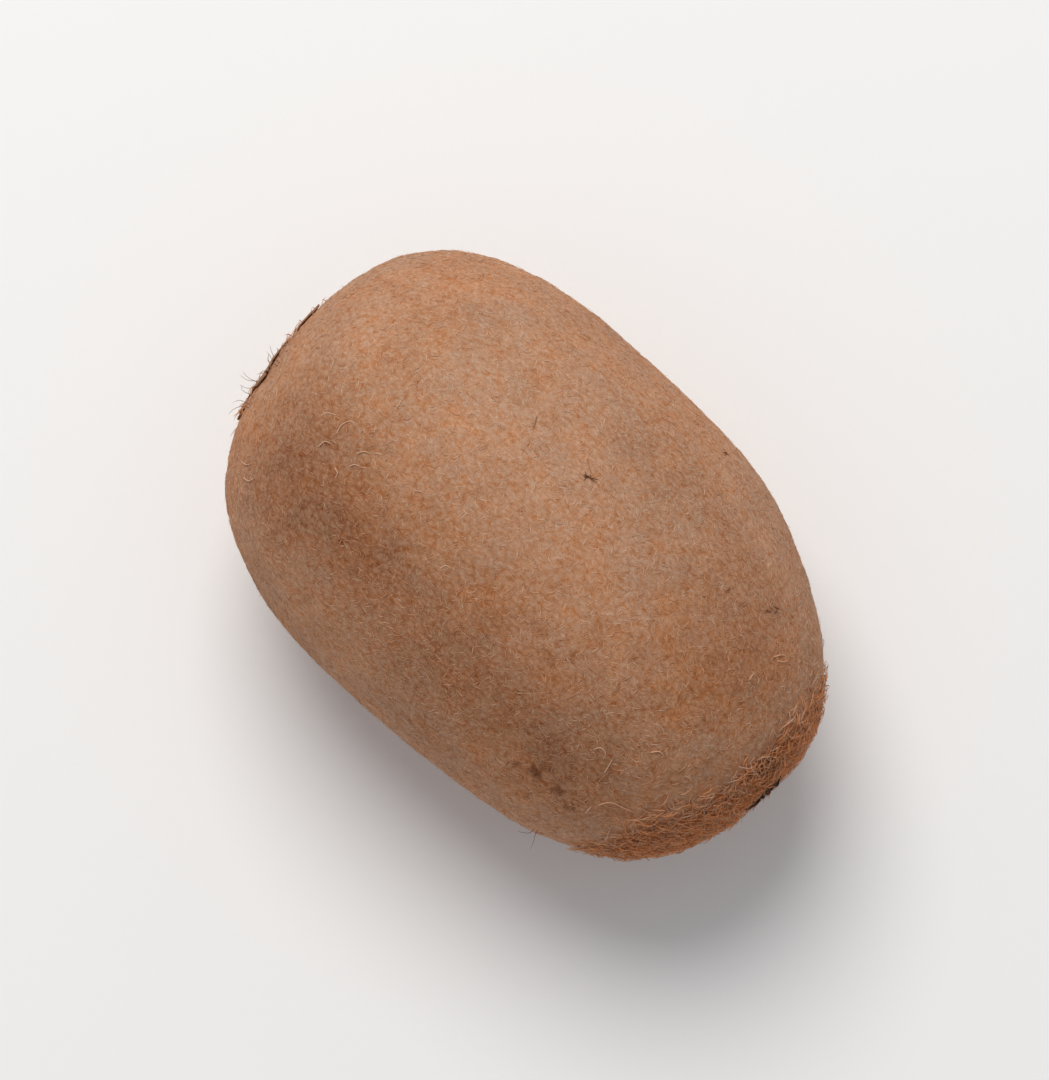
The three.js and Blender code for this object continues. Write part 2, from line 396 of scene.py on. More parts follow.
def mendedCopy(node):
    shape = bmesh.new()
    shape.from_mesh(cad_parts[node].data)
    bmesh.ops.remove_doubles(shape, verts=shape.verts, dist=mergeWithin * mm)
    return shape


# The rust-coloured fur of the two ends: how far across its end it is centred, how much it is drawn
# out that way, where it thins out and ends, and what it adds to tone and warmth
furZones = {
    "blossomFur": {
        "end": "blossom", "across": -5.0, "drawn": 1.85, "reach": (6.6, 12.5),
        "tone": -0.15, "warmth": 0.55,
    },
    "stemFur": {
        "end": "stem", "across": 0.0, "drawn": 1.0, "reach": (5.5, 9.0),
        "tone": -0.10, "warmth": 0.08,
    },
}
furEdge = {"size": 2.5, "seed": 41.7, "ragged": 1.8}

solidSkin = mendedCopy("fruit")
skinTree = BVHTree.FromBMesh(solidSkin)


def overEnd(end, across, upward, lift):
    # a point over an end's skin: so far across and up from its middle, and lifted off
    outward = fruitAxis * ends[end]["side"]
    level = Vector(ends[end]["middle"]) + fruitAcross * across + fruitUpright * upward
    place, _, _, _ = skinTree.ray_cast((level + outward * aboveEnds) * mm, -outward)
    return place + outward * lift * mm


def aroundEnd(end, out, turn, lift):
    return overEnd(end, out * math.cos(turn), out * math.sin(turn), lift)


def skinAtPixel(pixel, lift=0):  # where the solid skin shows in the photo, lifted off it
    size = view["frameHeight"] / view["photoHeight"]
    right = (pixel[0] - view["photoWidth"] / 2) * size
    up = (view["photoHeight"] / 2 - pixel[1]) * size
    through = aim + (viewRight * right + viewUp * up) * mm
    place, facing, _, _ = skinTree.ray_cast(eye, (through - eye).normalized())
    return place + facing * lift * mm


def smoothstep(value, low, high):
    share = np.clip((value - low) / (high - low), 0, 1)
    return share * share * (3 - 2 * share)


def fractal(places, size, seed):  # a soft noise of that size at each place
    start = np.array((seed, -seed, 2 * seed))
    places = places / (size * mm) + start
    return np.array([noise.fractal(place, *skinNoise.values()) for place in places])


def makeSkin():
    print("skin")
    shape = solidSkin.copy()
    bend, skew = skinLook["joinAngles"]
    pairs = {"angle_face_threshold": bend, "angle_shape_threshold": skew}
    bmesh.ops.join_triangles(shape, faces=shape.faces, **pairs)
    skin = toObject(shape, "skin")
    roundOff(skin, skinLook["rounds"])
    mesh = skin.data
    places = meshArray(mesh.vertices, "co", 3)
    relief = np.full(len(places), skinLook["feltDepth"])
    for size, height, seed in skinLook["relief"]:
        relief += fractal(places, size, seed) * height
    low, high = skinLook["reliefFrom"]
    relief *= smoothstep(places[:, 2], low * mm, high * mm) * mm
    places += meshArray(mesh.vertex_normals, "vector", 3) * relief[:, None]
    places[:, 2] = np.maximum(places[:, 2], 0)
    mesh.vertices.foreach_set("co", places.ravel())
    mesh.update()
    paintSkin(mesh)
    skinFinish().onto(skin)
    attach(skin, "root")
    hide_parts("fruit")
    return skin


def awayFrom(places, point):
    return np.linalg.norm(places - np.array(point), axis=1)


def paintSkin(mesh):
    places = meshArray(mesh.vertices, "co", 3) / mm
    tone = np.full(len(places), skinLook["tone"])
    warmth = np.full(len(places), skinLook["warmth"])
    toneSeed, warmthSeed = skinLook["mottleSeeds"]
    for later, (size, toneShare, warmthShare) in enumerate(skinLook["mottle"]):
        tone += fractal(places * mm, size, toneSeed + later) * toneShare
        warmth += fractal(places * mm, size, warmthSeed + later) * warmthShare
    # each patch adds its colour; the one in the hollow at the blossom end adds painted shade
    for patch in patches.values():
        off = awayFrom(places, skinAtPixel(patch["pixel"]) / mm) / patch["reach"]
        tone += patch["tone"] * np.exp(-off ** 2)
        warmth += patch["warmth"] * np.exp(-off ** 2)
    ragged = fractal(places * mm, furEdge["size"], furEdge["seed"]) * furEdge["ragged"]
    shares = {"tone": tone, "warmth": warmth}
    for name, zone in furZones.items():
        squeeze = np.array((1, 1 / zone["drawn"], 1))
        middle = np.array(overEnd(zone["end"], zone["across"], 0, 0)) / mm
        off = awayFrom(places * squeeze, middle * squeeze) + ragged
        furred = 1 - smoothstep(off, *zone["reach"])
        tone += zone["tone"] * furred
        warmth += zone["warmth"] * furred
        shares[name] = furred
    for name, values in shares.items():
        layer = mesh.attributes.new(name, "FLOAT", "POINT")
        layer.data.foreach_set("value", np.clip(values, 0, 1).astype(np.float32))


# The pattern painted on the skin: each noise's scale, detail, roughness and distortion
skinNoises = {
    "felt": (2.5, 2, 0.6, 1.2),
    "streak": (1.0, 1, 0.5, 0.8),
    "fibre": (2.6, 1, 0.5, 2.2),
    "blush": (0.95, 2, 0.6, 0.6),
    "wander": (2.4, 1),
}
skinPattern = {
    "streakStretch": (1.0, 3.2, 3.2),
    "grainStretch": (0.8, 1.1, 1.1),
    "grainScale": 1.9,
    # the cell distance at which the pebbles' painted shade turns from paler to darker
    "pebbleShadeMiddle": 0.35,
    "curlWidth": 0.05,
    "wanderReach": 0.9,
    "speckScale": 0.95,
    "orangeEdge": (0.12, 0.36),  # where an orange speck fades out, and how few specks are orange
    "orangeChoice": (0.35, 0.45),
    "dotEdge": (0.10, 0.30),  # and the same of the pale dots
    "dotChoice": (0.6, 0.7),
    "rustyEdge": (0.46, 0.66),
    "warmer": 0.18,  # how much warmer the orange specks and the rusty blush are
    "bumpDepth": 0.14,
    "bumpStrength": 0.6,
}
# How much each part of the pattern changes the tone, and how high it stands in the relief. The
# grain's tone is painted shade: paler on the pebbles' raised tops, darker in the hollows between them
patternTone = {
    "felt": 0.52, "streak": 0.2, "curl": 0.07, "grain": 0.3, "orange": 0.12, "dot": 0.08,
    "rusty": 0.06,
}
patternHeight = {"felt": 0.5, "curl": 0.3, "grain": 0.5}


def skinFinish():
    look, paler, higher = skinPattern, patternTone, patternHeight
    finish = Finish("felted_skin", skinLook["shader"])
    at = finish.places()
    tone, warmth = finish.attribute("tone"), finish.attribute("warmth")
    felt = finish.noise(at, *skinNoises["felt"])
    grain = finish.cells(finish.places(look["grainStretch"]), look["grainScale"])
    streak = finish.noise(finish.places(look["streakStretch"]), *skinNoises["streak"])
    fibre = finish.noise(at, *skinNoises["fibre"])
    curl = 1 - finish.between(abs(fibre - 0.5), 0.0, look["curlWidth"])
    blush = finish.noise(at, *skinNoises["blush"])
    wander = finish.noise(at, *skinNoises["wander"], output="Color")
    wander = finish.vectors("SCALE", {0: wander, "Scale": look["wanderReach"]})
    speck = finish.cells(finish.vectors("ADD", {0: at, 1: wander}), look["speckScale"])
    choice = finish.node("ShaderNodeSeparateColor", {}, {"Color": speck.also("Color")})
    orange = 1 - finish.between(speck, *look["orangeEdge"])
    orange = orange * finish.between(choice, *look["orangeChoice"])
    dot = 1 - finish.between(speck, *look["dotEdge"])
    dot = dot * finish.between(choice.also("Green"), *look["dotChoice"])
    rusty = finish.between(blush, *look["rustyEdge"])
    grown = (felt - 0.5) * paler["felt"] + (streak - 0.5) * paler["streak"] + curl * paler["curl"]
    # painted shade: the pebbles, raised by the bump below, are paler at their middles and darker
    # towards their edges
    grown = grown - (grain - look["pebbleShadeMiddle"]) * paler["grain"]
    grown = grown - orange * paler["orange"] + dot * paler["dot"] - rusty * paler["rusty"]
    tone = tone + grown
    warmth = warmth - grown * darkerWarmer + orange * look["warmer"] + rusty * look["warmer"]
    finish.put("Base Color", fruitColour(finish, warmth, tone))
    height = felt * higher["felt"] + curl * higher["curl"] - grain * higher["grain"]
    finish.bump(height, look["bumpDepth"], look["bumpStrength"])
    return finish


# Strands: a few forms of each kind, made once and stamped all over the skin

feltLook = {
    "forms": 14, "steps": 1, "sides": 3, "length": 0.80, "bend": 0.7, "radius": 0.065, "flat": 0.35,
    "rise": (0.05, 0.10), "peak": (0.5, 0.8), "count": 52000, "pieces": 3, "faceted": True,
    "size": (0.7, 1.4), "spread": 1.2, "tone": (0.02, 0.11), "warmth": (0.02, 0.05),
    "seed": 31,
}
downLook = {
    "forms": 10, "steps": 2, "sides": 3, "length": 0.8, "bend": 0.4, "radius": 0.022, "flat": 0.6,
    "rise": (0.15, 0.40), "peak": (0.8, 1.3), "count": 900, "pieces": 1, "faceted": True,
    "size": (0.7, 1.3), "spread": 0.8, "tone": (0.05, 0.12), "warmth": (0.10, 0.08),
    "seed": 32,
}
curlLook = {
    "forms": 20, "steps": 5, "sides": 3, "length": 1.7, "bend": 0.8, "radius": 0.034, "flat": 0.8,
    "rise": (0.04, 0.14), "peak": (0.4, 0.9), "count": 2200, "pieces": 1, "faceted": False,
    "size": (0.5, 1.2), "spread": 2.4, "tone": (0.13, 0.09), "warmth": (0.0, 0.08),
    "seed": 33,
}
furLook = {
    "forms": 24, "steps": 4, "sides": 3, "length": 1.7, "bend": 0.7, "radius": 0.056, "flat": 1,
    "rise": (0.20, 0.65), "peak": (0.6, 1.1), "count": 5600, "pieces": 1, "faceted": False,
    "size": (0.7, 1.3), "spread": 1.5, "tone": (0.62, 0.26), "warmth": (0.0, 0.06),
    "seed": 34, "stemShare": 0.12,
}
woolLook = {
    "forms": 16, "steps": 6, "sides": 3, "length": 2.6, "bend": 0.8, "radius": 0.046, "flat": 1,
    "rise": (0.2, 0.6), "peak": (0.5, 1.0), "count": 800, "pieces": 1, "faceted": False,
    "size": (0.7, 1.2), "spread": 1.8, "tone": (0.52, 0.14), "warmth": (-0.2, 0.06),
    "seed": 35, "stemShare": 0.2,
}
firstTurn = 0.5  # how far a strand's root may swing, as a share of its bend
stepTurn = (-0.25, 1.0)  # and how far each next step of it
rootDepth = 0.05
strandTaper = 0.75
strandLie = (1.0, 0.05, 0.05)  # the way that the strands lie: towards the blossom end
mapMargin = 0.03  # what the colour map keeps free at its edges
tintGrain = 0.012  # how far a strand's corners lie apart on it
tipPaler = 0.10
strandRoom = 0.055  # how far past the solids' box a strand may reach, as a share of half its size
floorGap = 0.03


def strandForm(random, look):
    # wanders off along +X from a sunk root, and rises and dips over the skin
    steps = look["steps"] + 1
    peak = random.uniform(*look["peak"])
    rise = random.uniform(*look["rise"])
    heading = random.uniform(-firstTurn, firstTurn) * look["bend"]
    curve = random.choice((-1, 1))
    at = Vector((0, 0, 0))
    path, radii = [], []
    for step in range(steps + 1):
        share = step / steps
        lift = rise * (1 - (1 - min(share, 2 * peak) / peak) ** 2) - rootDepth * (1 - share)
        path.append(Vector((at.x, at.y, lift)) * mm)
        radii.append(look["radius"] * mm * (1 - strandTaper * share ** 2))
        heading += curve * look["bend"] * random.uniform(*stepTurn)
        at += Vector((math.cos(heading), math.sin(heading), 0)) * look["length"] / steps
    corners, faces, along = strandArrays(path, radii, look["sides"])
    return corners * (1, 1, look["flat"]), faces, along


def strandArrays(path, radii, sides):
    # a strand's corners and faces, and how far along it each corner lies
    shape = growStrand(path, radii, sides)
    bmesh.ops.triangulate(shape, faces=shape.faces)
    corners = np.array([vertex.co for vertex in shape.verts])
    faces = np.array([[vertex.index for vertex in face.verts] for face in shape.faces])
    shape.free()
    reach = np.array(path[-1] - path[0])
    along = np.clip((corners - np.array(path[0])) @ reach / (reach @ reach), 0, 1)
    return corners, faces, along


def skinArrays(skin):
    mesh = skin.data
    mesh.calc_loop_triangles()
    corners = meshArray(mesh.loop_triangles, "vertices", 3).astype(int)
    places = meshArray(mesh.vertices, "co", 3).astype(float)
    edges = places[corners[:, 1:]] - places[corners[:, :1]]
    found = {"corners": corners, "places": places}
    found["normals"] = meshArray(mesh.vertex_normals, "vector", 3)
    found["areas"] = np.linalg.norm(np.cross(edges[:, 0], edges[:, 1]), axis=1) / 2
    for name in ("tone", "warmth", *furZones):
        found[name] = meshArray(mesh.attributes[name].data, "value", 1)
    return found


def growOver(name, skin, look, share):
    # roots fall by area times each vertex's share
    print(name)
    chance = np.random.default_rng(look["seed"])
    odds = skin["areas"] * share[skin["corners"]].mean(axis=1)
    picked = chance.choice(len(odds), look["count"], p=odds / odds.sum())
    corners = skin["corners"][picked]
    weights = chance.dirichlet((1, 1, 1), look["count"])
    roots = np.einsum("nc,ncx->nx", weights, skin["places"][corners])
    normals = np.einsum("nc,ncx->nx", weights, skin["normals"][corners])
    normals /= np.linalg.norm(normals, axis=1, keepdims=True)
    tinted = chance.normal(0, look["tone"][1], look["count"])
    tone = np.einsum("nc,nc->n", weights, skin["tone"][corners]) + look["tone"][0] + tinted
    warmth = np.einsum("nc,nc->n", weights, skin["warmth"][corners]) - tinted * darkerWarmer
    warmth += chance.normal(*look["warmth"], look["count"])
    lie = np.cross(normals, np.cross(strandLie, normals))
    lie /= np.linalg.norm(lie, axis=1, keepdims=True)
    aside = np.cross(normals, lie)
    turn = chance.normal(0, look["spread"], look["count"])[:, None]
    ahead = lie * np.cos(turn) + aside * np.sin(turn)
    frames = np.stack([ahead, np.cross(normals, ahead), normals], axis=2)
    frames *= chance.uniform(*look["size"], look["count"])[:, None, None]
    random = Random(look["seed"])
    forms = [strandForm(random, look) for _ in range(look["forms"])]
    kinds = chance.integers(0, len(forms), look["count"])
    for part in range(look["pieces"]):
        chosen = np.arange(look["count"]) % look["pieces"] == part
        title = name if look["pieces"] == 1 else f"{name}_{part + 1}"
        drawn = [values[chosen] for values in (roots, frames, tone, warmth, kinds)]
        piece = stampStrands(title, forms, *drawn)
        if look["faceted"]:
            piece.data.shade_flat()


def stampStrands(name, forms, roots, frames, tone, warmth, kinds):
    points, faces, tints, start = [], [], [], 0
    low, high = np.array(solidBounds[0]), np.array(solidBounds[1])
    room = (high - low) * 0.5 * strandRoom
    for kind, (corners, triangles, along) in enumerate(forms):
        chosen = kinds == kind
        placed = roots[chosen, None] + np.einsum("nxy,cy->ncx", frames[chosen], corners)
        inside = (placed[..., 2] > floorGap * mm).all(axis=1)
        inside &= ((placed < high + room) & (placed > low - room)).all(axis=(1, 2))
        placed = placed[inside]
        count = len(placed)
        if not count:
            continue
        points.append(placed.reshape(-1, 3))
        offsets = start + np.arange(count)[:, None, None] * len(corners)
        faces.append((triangles[None] + offsets).reshape(-1, 3))
        tints.append(strandTints(along, tone[chosen][inside], warmth[chosen][inside]))
        start += count * len(corners)
    return strandPiece(name, *map(np.concatenate, (points, faces, tints)))


def strandTints(along, tone, warmth):
    # where each corner of each strand lies on the colour map
    grain = ((np.arange(len(along)) % 3) - 1) * tintGrain
    low, high = mapMargin, 1 - mapMargin
    across = np.clip(warmth, low, high)[:, None] + grain
    upward = np.clip(tone, low, high - tipPaler)[:, None] + along * tipPaler
    return np.stack([across, upward], axis=2).reshape(-1, 2)


def strandPiece(name, points, faces, tints):
    mesh = bpy.data.meshes.new(name)
    mesh.vertices.add(len(points))
    mesh.vertices.foreach_set("co", points.ravel().astype(np.float32))
    mesh.loops.add(faces.size)
    mesh.loops.foreach_set("vertex_index", faces.ravel().astype(np.int32))
    mesh.polygons.add(len(faces))
    mesh.polygons.foreach_set("loop_start", np.arange(0, faces.size, 3, dtype=np.int32))
    mesh.update(calc_edges=True)
    layer = mesh.uv_layers.new(name=bakeMap)
    layer.data.foreach_set("uv", tints[faces.ravel()].ravel().astype(np.float32))
    mesh.shade_smooth()
    piece = bpy.data.objects.new(name, mesh)
    bpy.context.scene.collection.objects.link(piece)
    strandFinish.onto(piece)
    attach(piece, "root")
    return piece


strandShader = {"Roughness": 0.85, "Specular IOR Level": 0.08}


def makeStrandFinish():
    finish = Finish("strands", strandShader)
    parts = finish.node("ShaderNodeSeparateXYZ", {}, {"Vector": finish.mapped()})
    finish.put("Base Color", fruitColour(finish, parts.also("X"), parts.also("Y")))
    return finish


# Old marks and single hairs. A scuff is a small bed of short dark hairs: the photo's pixel that it
# is centred on, its length and width, how it is turned in the picture, how many hairs it has, and
# their tone and warmth.
scuffs = {
    "tuft": {
        "pixel": (590, 479), "size": (1.4, 0.4), "turn": -25, "hairs": 14, "tint": (0.04, 0.50),
    },
    "bellyFirst": {
        "pixel": (515, 762), "size": (1.8, 0.6), "turn": -10, "hairs": 11, "tint": (0.30, 0.80),
    },
    "bellyDark": {
        "pixel": (537, 771), "size": (2.0, 0.9), "turn": -40, "hairs": 22, "tint": (0.17, 0.70),
    },
    "bellyNext": {
        "pixel": (547, 767), "size": (1.2, 0.8), "turn": 0, "hairs": 9, "tint": (0.26, 0.75),
    },
    "bellyMiddle": {
        "pixel": (558, 789), "size": (1.6, 0.8), "turn": -20, "hairs": 17, "tint": (0.22, 0.75),
    },
    "bellyLow": {
        "pixel": (571, 805), "size": (1.5, 0.9), "turn": -30, "hairs": 11, "tint": (0.32, 0.80),
    },
    "bellyLast": {
        "pixel": (583, 800), "size": (1.6, 0.4), "turn": 30, "hairs": 7, "tint": (0.32, 0.80),
    },
    "bellySpeck": {
        "pixel": (621, 778), "size": (0.9, 0.3), "turn": 10, "hairs": 6, "tint": (0.26, 0.80),
    },
    "cheek": {
        "pixel": (772, 611), "size": (1.3, 0.6), "turn": 10, "hairs": 9, "tint": (0.16, 0.55),
    },
    "crownDot": {
        "pixel": (724, 456), "size": (0.5, 0.4), "turn": 0, "hairs": 7, "tint": (0.22, 0.75),
    },
    "sideDash": {
        "pixel": (727, 591), "size": (1.0, 0.2), "turn": 60, "hairs": 5, "tint": (0.34, 0.70),
    },
    "sideDot": {
        "pixel": (742, 605), "size": (0.6, 0.4), "turn": 0, "hairs": 5, "tint": (0.42, 0.70),
    },
}
scuffHair = {
    "length": 0.8, "share": (0.3, 0.6), "bow": 0.06, "spread": 0.6, "radius": 0.045, "sides": 3,
    "points": 3, "rise": 0.05, "toneSpread": 0.06, "warmthSpread": 0.08, "seed": 51,
}

# Single hairs that stand out: the photo's pixels that each runs through, and its tone and warmth
strays = {
    "crownDark": {"pixels": [(536, 418), (534, 425), (532, 432)], "tint": (0.26, 0.40)},
    "tuftTail": {"pixels": [(587, 461), (588, 468), (591, 475)], "tint": (0.35, 0.75)},
    "sideDark": {"pixels": [(768, 757), (766, 764), (771, 769)], "tint": (0.02, 0.05)},
    "flankSlash": {"pixels": [(396, 410), (401, 404), (404, 397)], "tint": (0.86, 0.25)},
    "flankFlat": {"pixels": [(323, 416), (330, 414), (338, 416)], "tint": (0.86, 0.15)},
    "flankHook": {"pixels": [(338, 434), (343, 426), (352, 422), (357, 427)], "tint": (0.86, 0.15)},
    "flankBend": {"pixels": [(320, 447), (327, 442), (334, 445)], "tint": (0.87, 0.20)},
    "flankLevel": {"pixels": [(358, 454), (365, 452), (372, 454)], "tint": (0.86, 0.20)},
    "flankNext": {"pixels": [(350, 467), (356, 465), (362, 467)], "tint": (0.82, 0.20)},
    "flankUpright": {"pixels": [(336, 468), (339, 473), (336, 479)], "tint": (0.87, 0.20)},
    "rimFirst": {"pixels": [(244, 461), (249, 465), (254, 464)], "tint": (0.87, 0.15)},
    "rimSecond": {"pixels": [(246, 478), (252, 481), (257, 478)], "tint": (0.87, 0.15)},
    "lowerBend": {"pixels": [(441, 568), (447, 565), (453, 569)], "tint": (0.87, 0.20)},
    "bellyHook": {"pixels": [(594, 748), (601, 746), (606, 752), (603, 759)], "tint": (0.87, 0.30)},
    "bellySlash": {"pixels": [(605, 771), (609, 764), (613, 757)], "tint": (0.84, 0.25)},
    "bellyWhite": {"pixels": [(586, 811), (589, 807), (592, 804)], "tint": (0.87, 0.00)},
    "blossomHook": {"pixels": [(650, 751), (659, 750), (664, 756)], "tint": (0.87, 0.30)},
    "blossomLong": {"pixels": [(598, 803), (611, 800), (625, 806), (637, 811)], "tint": (0.87, 0.35)},
    "sideSlash": {"pixels": [(747, 680), (750, 675), (753, 671)], "tint": (0.84, 0.25)},
    "sideLevel": {"pixels": [(772, 657), (778, 655), (784, 656)], "tint": (0.87, 0.35)},
    "upperLevel": {"pixels": [(775, 661), (781, 662), (786, 660)], "tint": (0.87, 0.35)},
    "lowerSlash": {"pixels": [(788, 722), (791, 717), (794, 712)], "tint": (0.87, 0.35)},
}
strayHair = {"radius": 0.072, "sides": 5, "points": 9, "lift": 0.09}
hairTaper = 0.6
hairSunk = 0.2  # the share of its lift that a hair's ends lie under the felt

# Whiskers that stand out at the limb: the pixel of each root, and where it passes from there, to
# the right and up in the picture
whiskers = [
    {"root": (262, 384), "turns": [(-0.7, 0.3), (-1.5, 0.7), (-2.1, 1.4)]},
    {"root": (264, 381), "turns": [(-0.8, 0.0), (-1.8, 0.1), (-2.7, 0.8)]},
    {"root": (260, 387), "turns": [(-0.8, -0.1), (-1.5, -0.1), (-2.2, 0.3)]},
    {"root": (282, 364), "turns": [(-0.6, 0.4), (-1.1, 1.3), (-1.3, 2.1)]},
    {"root": (280, 367), "turns": [(-0.7, 0.4), (-1.0, 1.1), (-1.5, 1.7)]},
    {"root": (250, 409), "turns": [(-0.7, 0.3), (-1.7, 0.0), (-2.4, -0.7)]},
    {"root": (252, 406), "turns": [(-0.7, 0.4), (-1.4, 0.6), (-2.1, 0.3)]},
    {"root": (255, 401), "turns": [(-0.4, 0.6), (-1.3, 1.1), (-1.5, 1.8)]},
    {"root": (536, 827), "turns": [(-0.6, -0.6), (-1.3, -0.6), (-2.1, -0.4)]},
    {"root": (539, 828), "turns": [(-0.4, -0.7), (-0.6, -1.5), (-1.0, -2.4)]},
]
whiskerHair = {"radius": 0.042, "taper": 0.7, "sides": 4, "points": 8, "tint": (0.12, 0.4)}


def growWhisker(whisker):
    look = whiskerHair
    root = skinAtPixel(whisker["root"])
    turns = [(viewRight * right + viewUp * up) * mm for right, up in whisker["turns"]]
    knots = [root] + [root + turn for turn in turns]
    shares = [step / (look["points"] - 1) for step in range(look["points"])]
    radii = [look["radius"] * mm * (1 - look["taper"] * share) for share in shares]
    return strandArrays(throughPoints(knots, look["points"]), radii, look["sides"])


def layHair(pixels, radius, sides, points, lift):
    # a hair on the felt under the given pixels, arched over it and sunk in at both ends
    depth = skinLook["feltDepth"]
    sunk, raised = depth - hairSunk * lift, depth + (1 - hairSunk) * lift
    low = throughPoints([skinAtPixel(pixel, sunk) for pixel in pixels], points)
    high = throughPoints([skinAtPixel(pixel, raised) for pixel in pixels], points)
    shares = [step / (points - 1) for step in range(points)]
    path = [a.lerp(b, 4 * share * (1 - share)) for a, b, share in zip(low, high, shares)]
    radii = [radius * mm * (1 - hairTaper * share ** 2) for share in shares]
    return strandArrays(path, radii, sides)


def scuffHairs(scuff, random):
    # short hairs strewn over an oval bed, each laid through three pixels of the photo
    look = scuffHair
    perPixel = view["frameHeight"] / view["photoHeight"]
    turn = math.radians(scuff["turn"])
    hairs = []
    for _ in range(scuff["hairs"]):
        out, around = math.sqrt(random.random()) / 2, random.uniform(0, 2 * math.pi)
        along = scuff["size"][0] * out * math.cos(around)
        aside = scuff["size"][1] * out * math.sin(around)
        right = along * math.cos(turn) - aside * math.sin(turn)
        up = along * math.sin(turn) + aside * math.cos(turn)
        heading = turn + random.gauss(0, look["spread"])
        half = look["length"] * random.uniform(*look["share"])
        pixels = []
        for side in (-1, 0, 1):
            x = right + side * half * math.cos(heading)
            bow = random.uniform(-look["bow"], look["bow"])
            y = up + side * half * math.sin(heading) + (1 - abs(side)) * bow
            pixels.append((scuff["pixel"][0] + x / perPixel, scuff["pixel"][1] - y / perPixel))
        laid = layHair(pixels, look["radius"], look["sides"], look["points"], look["rise"])
        tone, warmth = scuff["tint"]
        tone += random.gauss(0, look["toneSpread"])
        warmth += random.gauss(0, look["warmthSpread"])
        hairs.append((laid, (tone, warmth)))
    return hairs


def makeMarks():
    print("marks")
    random = Random(scuffHair["seed"])
    hairs = []
    for stray in strays.values():
        look = strayHair
        laid = layHair(stray["pixels"], look["radius"], look["sides"], look["points"], look["lift"])
        hairs.append((laid, stray["tint"]))
    for whisker in whiskers:
        hairs.append((growWhisker(whisker), whiskerHair["tint"]))
    for scuff in scuffs.values():
        hairs += scuffHairs(scuff, random)
    points, faces, tints, start = [], [], [], 0
    for (corners, triangles, along), (tone, warmth) in hairs:
        points.append(corners)
        faces.append(triangles + start)
        tints.append(strandTints(along, np.array([tone]), np.array([warmth])))
        start += len(corners)
    marks = strandPiece("marks", *map(np.concatenate, (points, faces, tints)))
    marks.data.shade_flat()


# The two dried ends


def seededDraws(seed):
    # the small generator of the solids' own draws, so that these pieces agree with the solids
    def product(first, second):
        return (first * second) & 0xFFFFFFFF

    state = seed
    while True:
        state = (state + 0x6D2B79F5) & 0xFFFFFFFF
        mixed = product(state ^ (state >> 15), 1 | state)
        mixed = ((mixed + product(mixed ^ (mixed >> 7), 61 | mixed)) ^ mixed) & 0xFFFFFFFF
        yield (mixed ^ (mixed >> 14)) / 4294967296


calyxLook = {
    "seed": 20,
    "count": 5,
    "steps": 30,
    "columns": 18,
    "thickness": 0.18,
    "lift": 0.1,
    "turn": 0.5,
    "turnSpread": 0.12,
    "root": 1.7,
    "length": 6.3,
    "lengths": (0.82, 1.12),  # how much longer or shorter one may be, and so on
    "halfWidth": 2.9,
    "widths": (0.88, 1.1),
    "slenderTip": 0.03,
    "rise": 0.1,
    "rises": (0.45, 1.5),
    "lean": 0.5,
    "cup": 0.1,
    "cups": (0.4, 1.6),
    "ragged": 0.1,
    "raggedWaves": 9,
    "ripple": 0.04,
    "rippleWaves": (6, 2.4),  # along the sepal and across it
    "tornDepth": 0.22,
    "tornGrain": (3.2, 4.5, 5.1),  # along, across and from sepal to sepal
    "crumple": 0.10,
    "crumpleGrain": (6, 5, 3.3),
    "mapWidth": 0.45,  # half of a sepal's share of the colour map
}
sepalColours = {
    "dark": (0.150, 0.064, 0.028, 1),
    "pale": (0.46, 0.235, 0.120, 1),
    "vein": (0.50, 0.290, 0.165, 1),
}


def bladeNoise(grain, *place):
    return noise.noise(Vector([size * share for size, share in zip(grain, place)]))


